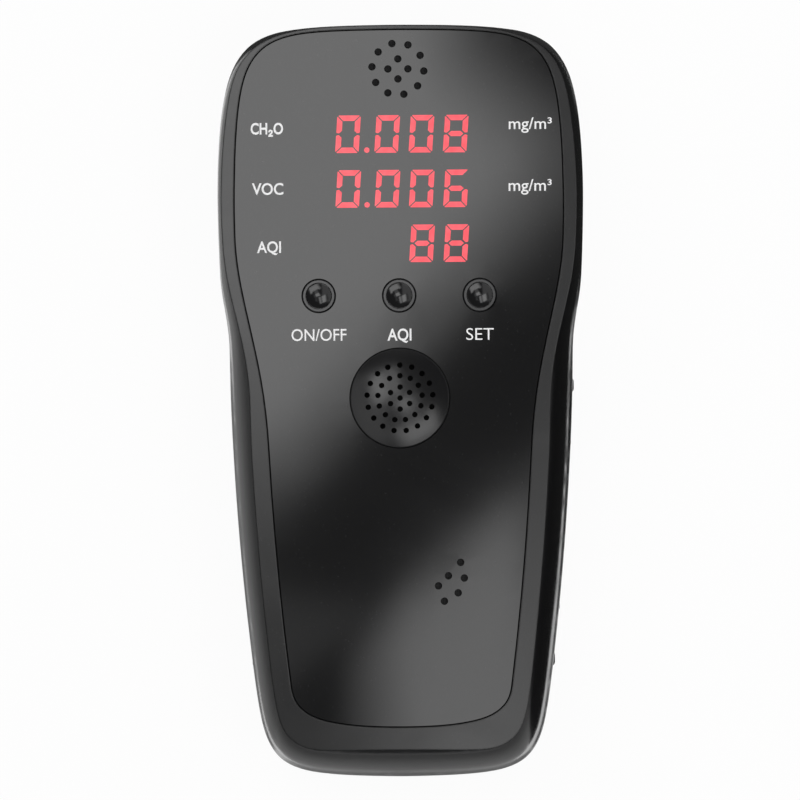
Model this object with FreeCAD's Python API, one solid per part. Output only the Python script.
import FreeCAD, Part
import math
import os

# Handheld air quality monitor, lying on its back.
# X is to the right seen from the front, Y towards the display end, Z out of the front face.
# The origin is the centre of the back face. All lengths are in millimetres.

os.makedirs("parts", exist_ok=True)

# ---- overall body --------------------------------------------------------------------------------
body_length = 150.6
head_width = 73.4
grip_width = 68.8          # width of the grip at mid length
body_depth = 33.6          # back face to the highest point of the crowned front
parting_height = 17.0      # where the two housings meet
crown_radius_across = 700.0
crown_radius_along = 4000.0
crown_fall = 0.55          # how far the crown falls away across the display
housing_wall = 2.0
front_web = 2.4            # front wall at the middle, under the panel
shadow_gap = 0.3           # fine groove between the two housings
lip_height = 1.5
lip_root = 2.5             # how deep the lip is rooted below the parting line
lip_thickness = 1.1
lip_clearance = 0.15

# side profile: the head narrows into a tapered grip below the shoulder
widest_from_top = 35.5
shoulder_from_top = 52.0
shoulder_length = 15.2
head_bow = 0.0024
grip_taper = 0.067
grip_bow = 0.00082
top_corner = 45.0
top_crown = 1.6
foot_corner = 31.0
foot_crown = 3.0
corner_power = 7.0
back_round = 4.6           # how far the back face is drawn in by its rounded edge
grip_bow_below_middle = 20.0
wall_curve = 0.93          # share of a quarter circle that the side walls follow
wall_steps = [0.0, 0.25, 0.5, 0.7, 0.85, 0.94, 1.0]
cavity_steps = 5           # the cavity follows the wall's first steps only
outline_stations = 40      # points per side of each outline spline
dense_points = 300         # points worked out before they are evenly spaced

# small allowances
cut_over = 1.0             # how far a cutting shape reaches past what it cuts
cut_beyond = 5.0           # the same, past the outside of the body
root_overlap = 0.5         # how far a boss or tab is rooted in what carries it
seam_overlap = 0.01
seat_clearance = 0.1
thread_clearance = 0.03

# bezel edge: the line where the front face meets the side walls
bezel_inset_head = 1.15
bezel_inset_grip = 3.7
bezel_inset_foot = 5.1
bezel_inset_top = 0.3
bezel_drop = 0.85          # from the highest point of the front down to this edge
bezel_head_bow_share = 1.65
bezel_shoulder_shift = 5.7
bezel_waist_shift = 17.0
bezel_top_corner_share = 0.467
bezel_top_power = 4.7
bezel_top_crown = 1.4
bezel_foot_corner_share = 0.815

# front panel: a gloss sheet let into the bezel
panel_inset_head = 2.5
panel_inset_grip = 3.6
panel_inset_foot = 4.7
panel_inset_top = 0.8
panel_head_bow_share = 0.94
panel_shoulder_shift = 9.0
panel_waist_shift = 20.0
panel_top_corner_share = 0.75
panel_top_power = 6.3
panel_top_crown = 1.25
panel_foot_corner_share = 0.36
panel_foot_power = 4.4
panel_foot_crown = 3.8
panel_thickness = 1.15
panel_gap = 0.25
glue_line = 0.05

# ---- front features, measured down from the top edge of the body ---------------------------------
top_vent_from_top = 9.1
first_row_from_top = 22.1
row_pitch = 10.95
buttons_from_top = 54.4
dish_from_top = 74.9
lower_vent_from_top = 110.5
lower_vent_x = 7.5
lower_vent_facing = -23.0
lower_vent_spread = 70.0

vent_hole_diameter = 1.5
vent_outer_ring = 5.2
vent_outer_count = 10
vent_inner_ring = 2.0
vent_inner_count = 4
vent_turn = -5.0
vent_chamber_radius = 6.6
mesh_thickness = 0.3
mesh_margin = 1.0

# ---- display -------------------------------------------------------------------------------------
digit_height = 7.4
digit_width = 4.7
digit_pitch = 6.85
first_digit_gap = 1.05     # extra room before the second digit, for the decimal point
digit_slant = 3.3
segment_width = 1.15
segment_gap = 0.12
segment_depth = 0.5
segment_seat_gap = 0.05
point_size = 1.2
last_digit_x = 11.4
module_height = 7.0
module_margin = 1.4
module_gap = 0.3
window_clearance = 0.5
module_cover_gap = 0.15

# ---- buttons -------------------------------------------------------------------------------------
button_pitch = 16.1
button_diameter = 4.9
dome_height = 0.6
button_clearance = 0.12
ring_width = 0.55
ring_groove = 0.35
ring_proud = 0.12
ring_bevel = 0.1
ring_web_clearance = 0.25
ring_flange = 0.8
ring_flange_depth = 0.7
button_flange = 1.3
button_flange_depth = 0.6
button_travel = 0.5
button_stop_gap = 0.3
switch_size = 6.0
switch_height = 3.5
plunger_diameter = 3.4
plunger_clearance = 0.1
plunger_sunk = 1.2         # how deep a plunger sits in its switch at rest
plunger_room = 0.3

# ---- sensor intake dish --------------------------------------------------------------------------
dish_diameter = 19.8
dish_clearance = 0.2
dish_lip = 0.05
dish_wall = 0.5            # how far the bowl's skirt stands in from its rim
dish_depth = 2.4
dish_floor = 1.2
dish_hole_diameter = 1.1
dish_flange = 1.3
dish_flange_depth = 0.8
dish_rings = [(0.0, 1), (2.2, 6), (4.45, 13), (6.6, 17)]

# ---- circuit board and what it carries -----------------------------------------------------------
board_thickness = 1.6
board_clearance = 1.2
board_foot_from_bottom = 11.5
board_screw_x = 20.0
board_screw_top = 8.8      # from the top edge of the body
board_screw_foot = 35.0    # from the bottom edge of the body
boss_radius = 2.8
pilot_radius = 1.0
boss_clearance = 0.5

sensor_diameter = 19.0
sensor_height = 12.0
header_gap = 0.4
sensor_hole_clearance = 0.6
sensor_board_thickness = 1.4
sensor_board_margin = 1.5
gasket_thickness = 0.8
gasket_wall = 1.6
header_width = 2.4
header_length = 10.0
voc_diameter = 8.6
voc_height = 4.4
buzzer_diameter = 12.0
buzzer_height = 4.6
chip_size = 10.0
chip_height = 1.5
chip_from_dish = 20.0
side_part_margin = 5.0
# small parts beside the sensor: offset from its middle, width, length, height
side_parts = [(4.5, 3.2, 3.0, 1.6), (-1.4, 2.0, 1.2, 0.9), (-4.4, 2.0, 1.2, 0.9)]
connector_length = 6.0
connector_width = 5.0
connector_height = 3.0
capacitor_radius = 3.2
capacitor_height = 4.4

# ---- battery compartment -------------------------------------------------------------------------
cell_diameter = 10.5
cell_length = 44.5
cell_nub_diameter = 3.8
cell_nub_height = 0.8
cell_count = 3
cell_gap = 0.1             # between neighbouring cells
cell_clearance = 0.35
contact_room = 2.6
contact_sheet = 0.4
contact_width = 7.0
riser_width = 2.0
contact_foot = 0.6         # room left under each contact
spring_half_height = 3.0
spring_width = 4.0
spring_sheet = 0.25
spring_crest_share = 1.6   # sheet thickness at the bend, in sheets
bay_wall = 1.3
bay_from_bottom = 12.3
cover_thickness = 2.0
cover_gap = 0.2
cover_side_margin = 2.9
cover_end_height = 9.0
cover_end_thickness = 2.4
cover_top_margin = 6.0
rail_width = 1.0
rail_thickness = 0.8
rail_height = 0.7
rail_clearance = 0.15
rail_foot_margin = 8.0
rail_top_margin = 3.0
guide_width = 2.5
inner_wall = 1.5
thumb_groove_count = 5
thumb_groove_width = 1.0
thumb_groove_pitch = 2.2
thumb_groove_length = 14.0
thumb_groove_depth = 0.4
thumb_groove_from_top = 4.0

# ---- case screws ---------------------------------------------------------------------------------
case_screw_x_head = 25.0
case_screw_head_from_top = 17.3
case_screw_x_foot = 11.5
case_screw_foot_from_bottom = 7.6
case_boss_radius = 3.2
screw_radius = 1.25
screw_hole_radius = 1.6
screw_head_radius = 2.5
screw_head_height = 1.8
screw_head_clearance = 0.4
case_screw_length = 11.0
screw_slot_length = 4.0
screw_slot_width = 0.6
screw_slot_depth = 0.8
screw_end_room = 1.0
case_counterbore = 9.0
board_screw_length = 5.0
board_screw_head_radius = 2.0
board_screw_head_height = 1.2
board_screw_end_room = 0.6
board_hole_clearance = 0.2

# ---- side grip bumps -----------------------------------------------------------------------------
bump_radius = 1.0
bump_root = 1.5            # how deep each bump is rooted in the wall
bump_stem_radius = 0.6
bump_length = 1.6
bump_proud = 0.6
bump_count = 6
bump_top_y = 2.8
bump_pitch = 11.0
bump_arc_height = 6.0
bump_top_height = 13.2
bump_tilt = 35.0

V = FreeCAD.Vector
UP = V(0, 0, 1)

# ---- places worked out from the sizes ------------------------------------------------------------
top_y = body_length / 2
foot_y = -body_length / 2
bezel_height = body_depth - bezel_drop
panel_floor = body_depth - panel_thickness - glue_line
cavity_top = panel_floor - front_web
module_top = panel_floor - module_cover_gap - crown_fall
board_top = module_top - module_height
board_bottom = board_top - board_thickness
button_y = top_y - buttons_from_top
dish_y = top_y - dish_from_top
top_vent_y = top_y - top_vent_from_top
lower_vent_y = top_y - lower_vent_from_top
row_ys = [top_y - first_row_from_top - k * row_pitch for k in range(3)]
bay_half = cell_count * cell_diameter / 2 + cell_clearance
bay_foot = foot_y + bay_from_bottom
bay_top = bay_foot + cell_length + 2 * contact_room
skin_level = cover_thickness + cover_gap
cell_axis = skin_level + cell_clearance + cell_diameter / 2
bay_ceiling = cell_axis + cell_diameter / 2 + cell_clearance
cover_half = bay_half + cover_side_margin
cover_top = bay_top + cover_top_margin


# ---- outlines ------------------------------------------------------------------------------------
def side_half_width(shape, y):
    """Half width of an outline's long side, before its end corners are rounded."""
    head = shape["head"] - shape["head_bow"] * (y - shape["widest"]) ** 2
    grip = shape["grip"] + shape["taper"] * y - shape["grip_bow"] * (y + grip_bow_below_middle) ** 2
    t = (y - shape["waist"]) / (shape["shoulder"] - shape["waist"])
    t = min(max(t, 0.0), 1.0)
    return grip + (head - grip) * t * t * (3 - 2 * t)


def corner_run(shape, which, steps):
    """Points of one rounded end, from the long side to the middle of the end."""
    end = shape[which]
    corner = shape[which + "_corner"]
    power = shape[which + "_power"]
    crown = shape[which + "_crown"]
    sign = 1 if which == "top" else -1
    run = []
    for k in range(steps + 1):
        a = math.radians(90.0 * k / steps)
        y = end - sign * corner + sign * corner * math.sin(a) ** (2 / power)
        x = side_half_width(shape, y) * max(math.cos(a), 0.0) ** (2 / power)
        y -= sign * crown * (x / shape["head"]) ** 2 * math.sin(a)
        run.append((x, y))
    return run


def right_side(shape):
    """Dense points down the right side, from the top centre to the foot centre."""
    dense = dense_points
    top = corner_run(shape, "top", dense)
    foot = corner_run(shape, "foot", dense)
    high = shape["top"] - shape["top_corner"]
    low = shape["foot"] + shape["foot_corner"]
    middle = []
    for k in range(1, dense):
        y = high + (low - high) * k / dense
        middle.append((side_half_width(shape, y), y))
    return top[::-1] + middle + foot


def outline(shape):
    """A closed loop of evenly spaced points, clockwise from the top centre."""
    dense = right_side(shape)
    travelled = [0.0]
    for a, b in zip(dense, dense[1:]):
        travelled.append(travelled[-1] + math.hypot(b[0] - a[0], b[1] - a[1]))
    right = []
    j = 0
    for k in range(outline_stations + 1):
        goal = travelled[-1] * k / outline_stations
        while j < len(dense) - 2 and travelled[j + 1] < goal:
            j += 1
        span = max(travelled[j + 1] - travelled[j], 1e-9)
        f = (goal - travelled[j]) / span
        right.append((dense[j][0] + f * (dense[j + 1][0] - dense[j][0]),
                      dense[j][1] + f * (dense[j + 1][1] - dense[j][1])))
    right[0] = (0.0, right[0][1])
    right[-1] = (0.0, right[-1][1])
    left = [(-x, y) for x, y in right[1:-1]]
    return right + left[::-1]


def inset(loop, distance):
    """The loop moved inwards by the same distance all round."""
    moved = []
    count = len(loop)
    for k in range(count):
        before = loop[k - 1]
        after = loop[(k + 1) % count]
        dx = after[0] - before[0]
        dy = after[1] - before[1]
        length = math.hypot(dx, dy)
        moved.append((loop[k][0] + distance * dy / length, loop[k][1] - distance * dx / length))
    return moved


def blend(a, b, f):
    """The loop a fraction f of the way from a to b."""
    return [(p[0] + f * (q[0] - p[0]), p[1] + f * (q[1] - p[1])) for p, q in zip(a, b)]


def spline_wire(loop, z):
    points = [V(x, y, z) for x, y in loop]
    curve = Part.BSplineCurve()
    steps = [float(k) for k in range(len(points) + 1)]
    curve.interpolate(Points=points, PeriodicFlag=True, Parameters=steps)
    return Part.Wire([curve.toShape()])


def prism(loop, low, high):
    """A straight-sided solid on a loop."""
    return Part.Face(spline_wire(loop, low)).extrude(V(0, 0, high - low))


def stacked(sections):
    """A smooth solid through (loop, height) sections, lowest first."""
    return Part.makeLoft([spline_wire(loop, z) for loop, z in sections], True, False)


silhouette_shape = {
    "top": top_y, "foot": foot_y, "head": head_width / 2, "grip": grip_width / 2,
    "widest": top_y - widest_from_top, "head_bow": head_bow, "taper": grip_taper, "grip_bow": grip_bow,
    "shoulder": top_y - shoulder_from_top, "waist": top_y - shoulder_from_top - shoulder_length,
    "top_corner": top_corner, "top_power": corner_power, "top_crown": top_crown,
    "foot_corner": foot_corner, "foot_power": corner_power, "foot_crown": foot_crown}

bezel_shape = dict(silhouette_shape)
bezel_shape.update({
    "top": top_y - bezel_inset_top, "foot": foot_y + bezel_inset_foot,
    "head": head_width / 2 - bezel_inset_head, "grip": grip_width / 2 - bezel_inset_grip,
    "head_bow": head_bow * bezel_head_bow_share,
    "shoulder": silhouette_shape["shoulder"] + bezel_shoulder_shift,
    "waist": silhouette_shape["waist"] - bezel_waist_shift,
    "top_corner": top_corner * bezel_top_corner_share, "top_power": bezel_top_power,
    "top_crown": bezel_top_crown, "foot_corner": foot_corner * bezel_foot_corner_share, "foot_crown": 0.0})

panel_shape = dict(bezel_shape)
panel_shape.update({
    "top": bezel_shape["top"] - panel_inset_top, "foot": bezel_shape["foot"] + panel_inset_foot,
    "head": bezel_shape["head"] - panel_inset_head, "grip": bezel_shape["grip"] - panel_inset_grip,
    "head_bow": head_bow * panel_head_bow_share,
    "shoulder": silhouette_shape["shoulder"] + panel_shoulder_shift,
    "waist": silhouette_shape["waist"] - panel_waist_shift,
    "top_corner": top_corner * panel_top_corner_share, "top_power": panel_top_power,
    "top_crown": panel_top_crown, "foot_corner": foot_corner * panel_foot_corner_share,
    "foot_power": panel_foot_power, "foot_crown": panel_foot_crown})

silhouette = outline(silhouette_shape)
bezel_edge = outline(bezel_shape)
panel_edge = outline(panel_shape)


# ---- shared shapes -------------------------------------------------------------------------------
def crown_height(x, y):
    """Height of the crowned front face at a point."""
    across = crown_radius_along - crown_radius_across + math.sqrt(crown_radius_across ** 2 - x * x)
    return body_depth - crown_radius_along + math.sqrt(across ** 2 - y * y)


def crown_solid(drop):
    """Everything below the front face, lowered by drop: an arc across, swept along a larger arc."""
    top = body_depth - drop
    reach = head_width
    edge = top - crown_radius_across + math.sqrt(crown_radius_across ** 2 - reach ** 2)
    low = -body_depth
    arc = Part.Arc(V(-reach, 0, edge), V(0, 0, top), V(reach, 0, edge)).toShape()
    sides = Part.makePolygon([V(reach, 0, edge), V(reach, 0, low), V(-reach, 0, low), V(-reach, 0, edge)])
    section = Part.Face(Part.Wire([arc] + sides.Edges))
    swing = math.degrees(body_length / crown_radius_along)
    middle = V(0, 0, top - crown_radius_along)
    section.rotate(middle, V(1, 0, 0), -swing)
    return section.revolve(middle, V(1, 0, 0), 2 * swing)


def box(x0, x1, y0, y1, z0, z1):
    return Part.makeBox(x1 - x0, y1 - y0, z1 - z0, V(x0, y0, z0))


def post(x, y, radius, low, high):
    return Part.makeCylinder(radius, high - low, V(x, y, low), UP)


def tube(x, y, outer, inner, low, high):
    return post(x, y, outer, low, high).cut(post(x, y, inner, low, high))


def round_profile(steps):
    """Fractions of height and of inset along a softly rounded wall."""
    end = 1 - math.sqrt(1 - wall_curve ** 2)
    return [(u, (1 - math.sqrt(1 - (wall_curve * u) ** 2)) / end) for u in steps]


def round_slope():
    """How fast the inset still grows where the rounded wall ends."""
    end = 1 - math.sqrt(1 - wall_curve ** 2)
    return wall_curve ** 2 / math.sqrt(1 - wall_curve ** 2) / end


def ring_places(radius, count, turn):
    places = []
    for k in range(count):
        a = math.radians(turn + 360.0 * k / count)
        places.append((radius * math.cos(a), radius * math.sin(a)))
    return places


def vent_places():
    inner = ring_places(vent_inner_ring, vent_inner_count, 0.0)
    return ring_places(vent_outer_ring, vent_outer_count, vent_turn) + inner


def lower_vent_places():
    """The lower vent keeps only the holes on the side that it faces."""
    kept = []
    for x, y in vent_places():
        off = (math.degrees(math.atan2(y, x)) - lower_vent_facing + 180.0) % 360.0 - 180.0
        if abs(off) < lower_vent_spread:
            kept.append((x, y))
    return kept


def save(name, shape):
    shape.exportStep("parts/" + name + ".step")


# ---- housings ------------------------------------------------------------------------------------
def front_sections(wall, steps, below=0.0):
    """Sections of the front housing's side wall, moved in by a wall thickness."""
    height = bezel_height - parting_height
    sections = []
    for u, f in round_profile(steps):
        loop = inset(blend(silhouette, bezel_edge, f), wall) if wall else blend(silhouette, bezel_edge, f)
        sections.append((loop, parting_height + u * height))
    if below:
        sections.insert(0, (sections[0][0], parting_height - below))
    return sections


def front_body():
    """The front housing's outer form, with its crowned face."""
    over = 1.5 * cut_over
    sections = front_sections(0.0, wall_steps)
    height = bezel_height - parting_height
    beyond = 1 + round_slope() * (body_depth + over - bezel_height) / height
    sections.append((blend(silhouette, bezel_edge, beyond), body_depth + over))
    return stacked(sections).common(crown_solid(0.0))


def rear_sections(wall, low):
    """Sections of the rear housing, from a level near the back up to the parting line."""
    back_edge = inset(silhouette, back_round)
    sections = []
    for u, f in round_profile(wall_steps[::-1]):
        z = low + (1 - u) * (parting_height - low)
        loop = blend(silhouette, back_edge, f)
        sections.append((inset(loop, wall) if wall else loop, z))
    return sections


def button_xs():
    return [-button_pitch, 0.0, button_pitch]


def case_screw_places():
    head = top_y - case_screw_head_from_top
    foot = foot_y + case_screw_foot_from_bottom
    return [(-case_screw_x_head, head), (case_screw_x_head, head),
            (-case_screw_x_foot, foot), (case_screw_x_foot, foot)]


def board_screw_places():
    head = top_y - board_screw_top
    foot = foot_y + board_screw_foot
    return [(-board_screw_x, head), (board_screw_x, head), (-board_screw_x, foot), (board_screw_x, foot)]


def module_span(row):
    """Left and right sides of the display module in a row."""
    lean = digit_height / 2 * math.tan(math.radians(digit_slant))
    digits = digit_xs(row)
    reach = digit_width / 2 + lean + module_margin
    return digits[0] - reach, digits[-1] + reach


def digit_xs(row):
    """Middles of the digits in a row: four in the upper rows, two in the last."""
    xs = [last_digit_x - k * digit_pitch for k in range(3)]
    xs.append(xs[-1] - digit_pitch - first_digit_gap)
    xs = xs[::-1]
    return xs if row < 2 else xs[2:]


def make_front_housing():
    shape = front_body()
    cavity = stacked(front_sections(housing_wall, wall_steps[:cavity_steps], root_overlap))
    cavity = cavity.common(box(-head_width, head_width, -body_length, body_length, 0, cavity_top))
    shape = shape.cut(cavity)
    recess = prism(panel_edge, cavity_top, body_depth + cut_beyond)
    recess = recess.cut(crown_solid(panel_thickness + glue_line))
    shape = shape.cut(recess)

    left, right = module_span(0)
    half_row = (row_pitch - module_gap) / 2 + window_clearance
    shape = shape.cut(box(left - window_clearance, right + window_clearance, row_ys[2] - half_row,
                          row_ys[0] + half_row, cavity_top - cut_over, body_depth))

    for x in button_xs():
        seat = ring_seat_height(x)
        shape = shape.cut(post(x, button_y, ring_outer() + ring_flange + seat_clearance, seat, body_depth))
        bore = ring_inner() + ring_web_clearance
        shape = shape.cut(post(x, button_y, bore, cavity_top - cut_over, seat + cut_over))

    seat = dish_seat_height()
    radius = dish_diameter / 2
    shape = shape.cut(post(0, dish_y, radius + dish_flange + dish_clearance, seat, body_depth))
    bore = radius - dish_wall - dish_clearance
    shape = shape.cut(post(0, dish_y, bore, cavity_top - cut_over, seat + cut_over))

    for x, y in ((0.0, top_vent_y), (lower_vent_x, lower_vent_y)):
        shape = shape.cut(post(x, y, vent_chamber_radius, cavity_top - cut_over, body_depth))
        rebate = vent_chamber_radius + mesh_margin + seat_clearance
        shape = shape.cut(post(x, y, rebate, mesh_seat_height(x, y), body_depth))

    for x, y in case_screw_places():
        shape = shape.fuse(post(x, y, case_boss_radius, parting_height, cavity_top + root_overlap))
    for x, y in board_screw_places():
        shape = shape.fuse(post(x, y, boss_radius, board_top, cavity_top + root_overlap))
    for x, y in case_screw_places():
        end = case_counterbore + case_screw_length + screw_end_room
        shape = shape.cut(post(x, y, screw_radius + thread_clearance, parting_height - cut_over, end))
    for x, y in board_screw_places():
        end = board_bottom + board_screw_length + board_screw_end_room
        shape = shape.cut(post(x, y, pilot_radius + thread_clearance, board_top - cut_over, end))
    return shape.removeSplitter()


def make_front_panel():
    edge = inset(panel_edge, panel_gap)
    top = body_depth + cut_over
    shape = prism(edge, cavity_top, body_depth + cut_beyond).common(crown_solid(0.0))
    shape = shape.cut(crown_solid(panel_thickness))
    for x in button_xs():
        shape = shape.cut(post(x, button_y, ring_outer() + ring_groove, cavity_top, top))
    shape = shape.cut(post(0, dish_y, dish_diameter / 2 + dish_clearance, cavity_top, top))
    for x, y in vent_places():
        shape = shape.cut(post(x, top_vent_y + y, vent_hole_diameter / 2, cavity_top, top))
    for x, y in lower_vent_places():
        shape = shape.cut(post(lower_vent_x + x, lower_vent_y + y, vent_hole_diameter / 2, cavity_top, top))
    return shape


def end_shell(side, thickness, high):
    """The rounded foot end of the rear housing to a thickness, between two sides and up to a height."""
    block = box(-side, side, foot_y - cut_beyond, bay_foot, -cut_over, high)
    return block.cut(stacked(rear_sections(thickness, 0.0)))


def cover_region(gap):
    """The space of the battery cover: a back plate and a lip up the foot end."""
    side = cover_half + gap
    plate = box(-side, side, foot_y - cut_beyond, cover_top + gap, -cut_over, cover_thickness + gap)
    return plate.fuse(end_shell(side, cover_end_thickness + gap, cover_end_height + gap))


def rail(gap, foot):
    """The tongue along each side of the cover, or with a gap the groove that it runs in."""
    low = rail_height - gap
    high = rail_height + rail_thickness + gap
    top = cover_top - rail_top_margin + gap
    reach = cover_half + rail_width + gap
    return box(-reach, reach, foot, top, low, high)


def side_bumps():
    """Small slanted bumps in a shallow arc along each side of the grip."""
    bumps = []
    for k in range(bump_count):
        y = bump_top_y - k * bump_pitch
        drop = bump_arc_height * math.sin(math.pi * k / (bump_count - 1)) ** 2
        z = bump_top_height - drop
        f = round_profile([(parting_height - z) / parting_height])[0][1]
        x = side_half_width(silhouette_shape, y) - back_round * f + bump_proud - bump_radius
        root = x - bump_root
        tilt = math.radians(bump_tilt)
        step = V(0, math.cos(tilt), math.sin(tilt)) * (bump_length / 2)
        for side in (-1, 1):
            low = V(side * x, y, z) - step
            high = V(side * x, y, z) + step
            bump = Part.makeCylinder(bump_radius, bump_length, low, high - low)
            bump = bump.fuse([Part.makeSphere(bump_radius, low), Part.makeSphere(bump_radius, high)])
            stem = Part.makeCylinder(bump_stem_radius, bump_root, V(side * root, y, z), V(side, 0, 0))
            bumps.append(bump.fuse(stem))
    return bumps


def make_rear_housing():
    outer = stacked(rear_sections(0.0, 0.0))
    shape = outer
    for bump in side_bumps():
        shape = shape.fuse(bump)
    cavity = stacked(rear_sections(housing_wall, housing_wall))
    mouth = prism(inset(silhouette, housing_wall), parting_height - seam_overlap, parting_height + cut_over)
    cavity = cavity.fuse(mouth)
    shape = shape.cut(cavity)

    # walls round the cover's channel, the battery bay and the screw bosses
    side = cover_half + cover_gap + guide_width
    skin = box(-side, side, foot_y, cover_top + cover_gap + inner_wall, 0, skin_level + inner_wall)
    behind = cover_gap + inner_wall
    end = end_shell(side, cover_end_thickness + behind, cover_end_height + behind)
    bay = box(-bay_half - bay_wall, bay_half + bay_wall, bay_foot - bay_wall, bay_top + bay_wall, 0,
              bay_ceiling + bay_wall)
    added = skin.fuse([end, bay])
    head_boss = screw_head_radius + screw_head_clearance + bay_wall
    for x, y in case_screw_places():
        added = added.fuse(post(x, y, head_boss, 0, parting_height))
    shape = shape.fuse(added.common(outer))

    # the lip that locates the front housing
    inside = inset(silhouette, housing_wall + lip_clearance + lip_thickness)
    base = prism(inset(silhouette, housing_wall / 2), parting_height - lip_root, parting_height)
    lip = prism(inset(silhouette, housing_wall + lip_clearance), parting_height, parting_height + lip_height)
    top = parting_height + lip_height + cut_over
    lip = base.fuse(lip).cut(prism(inside, parting_height - lip_root - cut_over, top))
    for x, y in case_screw_places():
        lip = lip.cut(post(x, y, case_boss_radius + boss_clearance, parting_height, top))
    shape = shape.fuse(lip)
    band = prism(inset(silhouette, -2 * housing_wall), parting_height - shadow_gap, parting_height)
    core = prism(inset(silhouette, shadow_gap), parting_height - cut_over, parting_height + cut_over)
    band = band.cut(core)
    shape = shape.cut(band)

    # openings: cover channel and rails, battery bay, contact slots, screw holes
    shape = shape.cut(cover_region(cover_gap))
    shape = shape.cut(rail(rail_clearance, foot_y - cut_beyond))
    shape = shape.cut(box(-bay_half, bay_half, bay_foot, bay_top, -cut_over, bay_ceiling))
    for riser in contact_risers(cover_gap):
        shape = shape.cut(riser)
    for x, y in case_screw_places():
        shape = shape.cut(post(x, y, screw_hole_radius, -cut_over, parting_height + cut_over))
        shape = shape.cut(post(x, y, screw_head_radius + screw_head_clearance, -cut_over, case_counterbore))
    return shape.removeSplitter()


def make_battery_cover():
    outer = stacked(rear_sections(0.0, 0.0))
    plate = cover_region(0.0).common(outer)
    foot = foot_y + rail_foot_margin
    shape = plate.fuse(rail(0.0, foot).common(outer))
    for k in range(thumb_groove_count):
        y = cover_top - thumb_groove_from_top - k * thumb_groove_pitch
        half = thumb_groove_length / 2
        low = y - thumb_groove_width / 2
        groove = box(-half, half, low, low + thumb_groove_width, -cut_over, thumb_groove_depth)
        shape = shape.cut(groove)
    return shape.removeSplitter()


# ---- buttons, rings and switches -----------------------------------------------------------------
def ring_inner():
    return button_diameter / 2 + button_clearance


def ring_outer():
    return ring_inner() + ring_width


def ring_seat_height(x):
    """Where a ring's flange rests on the front wall, under the panel."""
    reach = abs(x) + ring_outer() + ring_flange
    return crown_height(reach, button_y) - panel_thickness - glue_line - ring_flange_depth


def make_button_ring(x):
    seat = ring_seat_height(x)
    top = crown_height(x, button_y) + ring_proud
    shape = post(x, button_y, ring_outer(), seat, top)
    shape = shape.fuse(post(x, button_y, ring_outer() + ring_flange, seat, seat + ring_flange_depth))
    shape = shape.cut(post(x, button_y, ring_inner(), seat - cut_over, top + cut_over))
    low = V(x, button_y, top - ring_bevel)
    cone = Part.makeCone(ring_inner(), ring_inner() + ring_bevel, ring_bevel, low, UP)
    return shape.cut(cone)


def make_button_cap(x):
    face = crown_height(x, button_y)
    radius = button_diameter / 2
    ball = (radius ** 2 + dome_height ** 2) / (2 * dome_height)
    top = cavity_top - button_stop_gap
    shape = post(x, button_y, radius, top - button_flange_depth / 2, face + dome_height)
    dome = Part.makeSphere(ball, V(x, button_y, face + dome_height - ball))
    shape = shape.common(dome.fuse(post(x, button_y, radius + cut_over, top - cut_over, face)))
    return shape.fuse(post(x, button_y, radius + button_flange, plunger_top(), top)).removeSplitter()


def plunger_top():
    return cavity_top - button_stop_gap - button_flange_depth


def plunger_foot():
    return board_top + switch_height - plunger_sunk


def make_switch(x):
    half = switch_size / 2
    shape = box(x - half, x + half, button_y - half, button_y + half, board_top, board_top + switch_height)
    bore = plunger_diameter / 2 + plunger_clearance
    low = plunger_foot() - button_travel - plunger_room
    return shape.cut(post(x, button_y, bore, low, board_top + switch_height + cut_over))


def make_plunger(x):
    return post(x, button_y, plunger_diameter / 2, plunger_foot(), plunger_top())


# ---- intake dish and sensors ---------------------------------------------------------------------
def dish_flange_top():
    return panel_floor - seat_clearance


def dish_seat_height():
    return dish_flange_top() - dish_flange_depth


def dish_foot():
    return crown_height(0, dish_y) - dish_depth - dish_floor


def make_intake_dish():
    face = crown_height(0, dish_y)
    radius = dish_diameter / 2
    seat = dish_seat_height()
    shape = post(0, dish_y, radius, seat, face + cut_over).common(crown_solid(0.0))
    shape = shape.fuse(post(0, dish_y, radius + dish_flange, seat, dish_flange_top()))
    skirt = radius - dish_wall - 2 * dish_clearance
    shape = shape.fuse(post(0, dish_y, skirt, dish_foot(), seat + root_overlap))
    bowl = radius - dish_lip
    ball = (bowl ** 2 + dish_depth ** 2) / (2 * dish_depth)
    shape = shape.cut(Part.makeSphere(ball, V(0, dish_y, face - dish_depth + ball)))
    for ring, count in dish_rings:
        for x, y in ring_places(ring, count, 90.0):
            hole = post(x, dish_y + y, dish_hole_diameter / 2, dish_foot() - cut_over, face + cut_over)
            shape = shape.cut(hole)
    return shape


def sensor_top():
    return dish_foot() - gasket_thickness


def make_sensor():
    return post(0, dish_y, sensor_diameter / 2, sensor_top() - sensor_height, sensor_top())


def make_sensor_gasket():
    outer = dish_diameter / 2 - dish_wall - 2 * dish_clearance - seat_clearance
    return tube(0, dish_y, outer, outer - gasket_wall, sensor_top(), dish_foot())


def header_front():
    """Where the pin header stands, just above the sensor."""
    return dish_y + sensor_diameter / 2 + header_gap


def make_sensor_board():
    top = sensor_top() - sensor_height
    half = sensor_diameter / 2 + sensor_board_margin
    high = header_front() + header_width + sensor_board_margin / 2
    return box(-half, half, dish_y - half, high, top - sensor_board_thickness, top)


def make_pin_header():
    low = sensor_top() - sensor_height
    half = header_length / 2
    return box(-half, half, header_front(), header_front() + header_width, low, board_bottom)


def mesh_seat_height(x, y):
    reach = vent_chamber_radius + mesh_margin
    return crown_height(abs(x) + reach, abs(y) + reach) - panel_thickness - glue_line - mesh_thickness


def make_mesh(x, y):
    seat = mesh_seat_height(x, y)
    return post(x, y, vent_chamber_radius + mesh_margin, seat, seat + mesh_thickness)


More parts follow.
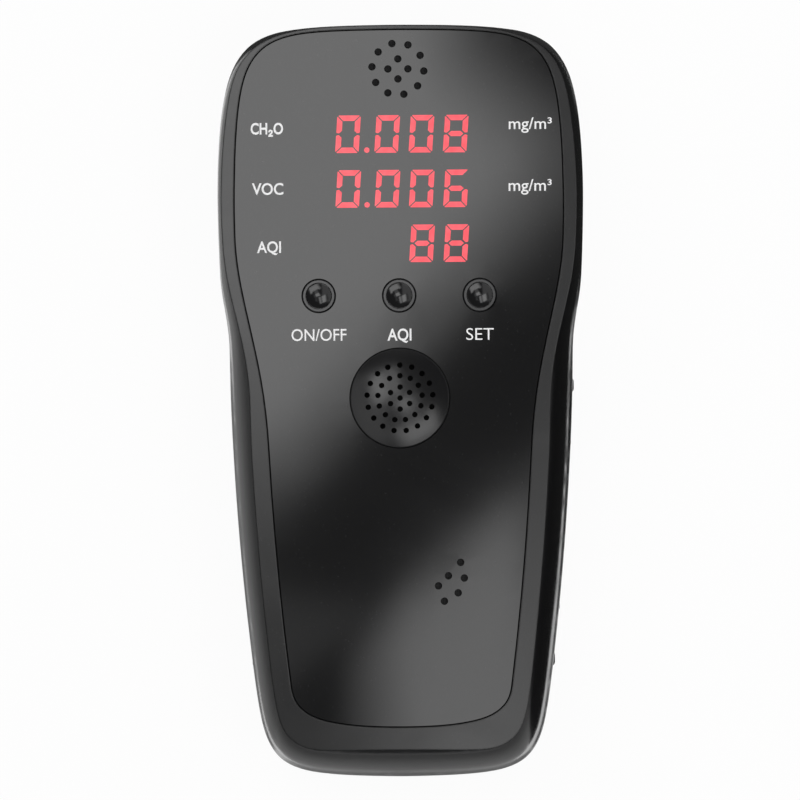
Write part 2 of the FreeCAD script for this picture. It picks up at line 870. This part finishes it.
# ---- display modules -----------------------------------------------------------------------------
def segment_polygons():
    """The seven mitred bars of one digit about its middle, before it is slanted."""
    half_w = (digit_width - segment_width) / 2
    half_h = (digit_height - segment_width) / 2
    t = segment_width / 2
    corners = {"tl": (-half_w, half_h), "tr": (half_w, half_h), "ml": (-half_w, 0.0),
               "mr": (half_w, 0.0), "bl": (-half_w, -half_h), "br": (half_w, -half_h)}
    bars = [("tl", "tr"), ("tr", "mr"), ("mr", "br"), ("bl", "br"), ("ml", "bl"), ("tl", "ml"), ("ml", "mr")]
    polygons = []
    for a, b in bars:
        (x0, y0), (x1, y1) = corners[a], corners[b]
        length = math.hypot(x1 - x0, y1 - y0)
        ux, uy = (x1 - x0) / length, (y1 - y0) / length
        nx, ny = -uy, ux
        g = segment_gap
        shape = [(g, 0.0), (g + t, t), (length - g - t, t), (length - g, 0.0), (length - g - t, -t), (g + t, -t)]
        polygons.append([(x0 + s * ux + n * nx, y0 + s * uy + n * ny) for s, n in shape])
    return polygons


def light_bars(row, grow):
    """The light segments of a row's digits and, in the upper rows, the decimal point."""
    slant = math.tan(math.radians(digit_slant))
    low = module_top - segment_depth - (segment_seat_gap if grow else 0.0)
    high = module_top + (cut_over if grow else 0.0)
    solids = []
    for x in digit_xs(row):
        for polygon in segment_polygons():
            points = [V(x + px + slant * py, row_ys[row] + py, low) for px, py in polygon]
            face = Part.Face(Part.makePolygon(points + points[:1]))
            solids.append(face.extrude(V(0, 0, high - low)))
    if row < 2:
        first = digit_xs(row)[0]
        x = first + (digit_pitch + first_digit_gap) / 2 - slant * digit_height / 2
        y = row_ys[row] - digit_height / 2
        solids.append(box(x - point_size / 2, x + point_size / 2, y, y + point_size, low, high))
    return solids


def make_module(row):
    left, right = module_span(row)
    half = (row_pitch - module_gap) / 2
    shape = box(left, right, row_ys[row] - half, row_ys[row] + half, board_top, module_top)
    return shape.cut(Part.makeCompound(light_bars(row, True)))


# ---- circuit board -------------------------------------------------------------------------------
def make_board():
    edge = inset(bezel_edge, housing_wall + board_clearance)
    shape = prism(edge, board_bottom, board_top)
    foot = foot_y + board_foot_from_bottom
    shape = shape.cut(box(-head_width, head_width, foot_y - cut_beyond, foot, 0, body_depth))
    shape = shape.cut(post(0, dish_y, sensor_diameter / 2 + sensor_hole_clearance, 0, body_depth))
    for x, y in case_screw_places():
        shape = shape.cut(post(x, y, case_boss_radius + boss_clearance, 0, body_depth))
    for x, y in board_screw_places():
        shape = shape.cut(post(x, y, pilot_radius + board_hole_clearance, 0, body_depth))
    return shape


def make_board_screws():
    screws = []
    for x, y in board_screw_places():
        head = post(x, y, board_screw_head_radius, board_bottom - board_screw_head_height, board_bottom)
        screws.append(head.fuse(post(x, y, pilot_radius, board_bottom, board_bottom + board_screw_length)))
    return Part.makeCompound(screws)


def make_case_screws():
    screws = []
    for x, y in case_screw_places():
        head = post(x, y, screw_head_radius, case_counterbore - screw_head_height, case_counterbore)
        shank = post(x, y, screw_radius, case_counterbore, case_counterbore + case_screw_length)
        face = case_counterbore - screw_head_height
        reach = screw_slot_length / 2
        half = screw_slot_width / 2
        slot = box(x - reach, x + reach, y - half, y + half, face - cut_over, face + screw_slot_depth)
        screws.append(head.fuse(shank).cut(slot))
    return Part.makeCompound(screws)


def make_microcontroller():
    y = dish_y - chip_from_dish
    half = chip_size / 2
    return box(-half, half, y - half, y + half, board_top, board_top + chip_height)


def make_board_components():
    """Small parts on the board's upper side, beside the sensor and below the chip."""
    parts = []
    for side in (-1, 1):
        x = side * (sensor_diameter / 2 + side_part_margin)
        for offset, width, length, height in side_parts:
            y = dish_y + offset
            parts.append(box(x - width / 2, x + width / 2, y - length / 2, y + length / 2,
                             board_top, board_top + height))
    y = dish_y - chip_from_dish
    half = connector_length / 2
    parts.append(box(-chip_size - half, -chip_size + half, y - connector_width / 2, y + connector_width / 2,
                     board_top, board_top + connector_height))
    parts.append(post(-chip_size, y - chip_size, capacitor_radius, board_top, board_top + capacitor_height))
    return Part.makeCompound(parts)


# ---- batteries and contacts ----------------------------------------------------------------------
def cell_xs():
    middle = (cell_count - 1) / 2
    return [(k - middle) * cell_diameter for k in range(cell_count)]


def cell_way(k):
    """1 where a cell's positive end is at the top, -1 where it is turned round."""
    return 1 if k % 2 == 0 else -1


def make_cell(k):
    x = cell_xs()[k]
    way = cell_way(k)
    low = bay_foot + contact_room
    body = cell_length - cell_nub_height
    start = low if way > 0 else low + cell_nub_height
    shape = Part.makeCylinder((cell_diameter - cell_gap) / 2, body, V(x, start, cell_axis), V(0, 1, 0))
    nub_start = start + body if way > 0 else low
    nub = Part.makeCylinder(cell_nub_diameter / 2, cell_nub_height, V(x, nub_start, cell_axis), V(0, 1, 0))
    return shape.fuse(nub)


def contact_ends(k):
    """Where a cell's positive and negative contacts stand, and which way each faces."""
    top = (bay_top, -1)
    foot = (bay_foot, 1)
    return (top, foot) if cell_way(k) > 0 else (foot, top)


def contact_sheet_at(x, wall, facing, gap=0.0):
    half = contact_width / 2 + gap
    near, far = sorted((wall - facing * gap, wall + facing * (contact_sheet + gap)))
    return box(x - half, x + half, near, far, skin_level + contact_foot, bay_ceiling)


def contact_risers(gap):
    """Tabs of the two end contacts that reach up through the bay's ceiling to the board."""
    risers = []
    for k in (0, cell_count - 1):
        side = -1 if k == 0 else 1
        edge = cell_xs()[k] + side * contact_width / 2
        left, right = sorted((edge + side * gap, edge - side * (riser_width + gap)))
        wall, facing = contact_ends(k)[0 if k == 0 else 1]
        near, far = sorted((wall - facing * gap, wall + facing * (contact_sheet + gap)))
        risers.append(box(left, right, near, far, bay_ceiling - root_overlap, board_bottom))
    return risers


def make_contact_plates():
    """Flat positive contacts with a raised button, and the sheet behind each spring."""
    parts = []
    for k, x in enumerate(cell_xs()):
        (wall, facing), (far_wall, far_facing) = contact_ends(k)
        plate = contact_sheet_at(x, wall, facing)
        reach = contact_room - contact_sheet
        start = wall + facing * contact_sheet
        button = Part.makeCylinder(cell_nub_diameter / 2, reach, V(x, start, cell_axis), V(0, facing, 0))
        plate = plate.fuse(button)
        sheet = contact_sheet_at(x, far_wall, far_facing)
        if k == 0:
            plate = plate.fuse(contact_risers(0.0)[0])
        if k == cell_count - 1:
            sheet = sheet.fuse(contact_risers(0.0)[1])
        parts += [plate, sheet]
    return Part.makeCompound(parts)


def make_contact_springs():
    """Bowed leaf springs that press on the cells' flat ends."""
    parts = []
    for k, x in enumerate(cell_xs()):
        wall, facing = contact_ends(k)[1]
        start = wall + facing * contact_sheet
        reach = contact_room - contact_sheet
        high = spring_half_height
        back = high - 2 * spring_sheet
        crest = start + facing * reach
        hollow = crest - facing * spring_crest_share * spring_sheet
        profile = [(start, -high), (crest, 0.0), (start, high), (start, back), (hollow, 0.0), (start, -back)]
        points = [V(x - spring_width / 2, y, cell_axis + z) for y, z in profile]
        face = Part.Face(Part.makePolygon(points + points[:1]))
        parts.append(face.extrude(V(spring_width, 0, 0)))
    return Part.makeCompound(parts)


# ---- write every node ----------------------------------------------------------------------------
save("front_housing", make_front_housing())
save("front_panel", make_front_panel())
save("rear_housing", make_rear_housing())
save("battery_cover", make_battery_cover())
save("intake_dish", make_intake_dish())

for side, x in zip(("left", "middle", "right"), button_xs()):
    save("button_ring_" + side, make_button_ring(x))
    save("button_cap_" + side, make_button_cap(x))
    save("switch_body_" + side, make_switch(x))
    save("switch_plunger_" + side, make_plunger(x))

for row, place in enumerate(("upper", "middle", "lower")):
    save("display_module_" + place, make_module(row))
    save("display_segments_" + place, Part.makeCompound(light_bars(row, False)))

save("vent_mesh_top", make_mesh(0.0, top_vent_y))
save("vent_mesh_lower", make_mesh(lower_vent_x, lower_vent_y))
save("main_board", make_board())
save("board_screws", make_board_screws())
save("microcontroller", make_microcontroller())
save("board_components", make_board_components())
save("formaldehyde_sensor", make_sensor())
save("sensor_gasket", make_sensor_gasket())
save("sensor_board", make_sensor_board())
save("pin_header", make_pin_header())
save("voc_sensor", post(0.0, top_vent_y, voc_diameter / 2, board_top, board_top + voc_height))
save("buzzer", post(lower_vent_x, lower_vent_y, buzzer_diameter / 2, board_top, board_top + buzzer_height))

for k, place in enumerate(("left", "middle", "right")):
    save("battery_" + place, make_cell(k))
save("contact_plates", make_contact_plates())
save("contact_springs", make_contact_springs())
save("case_screws", make_case_screws())
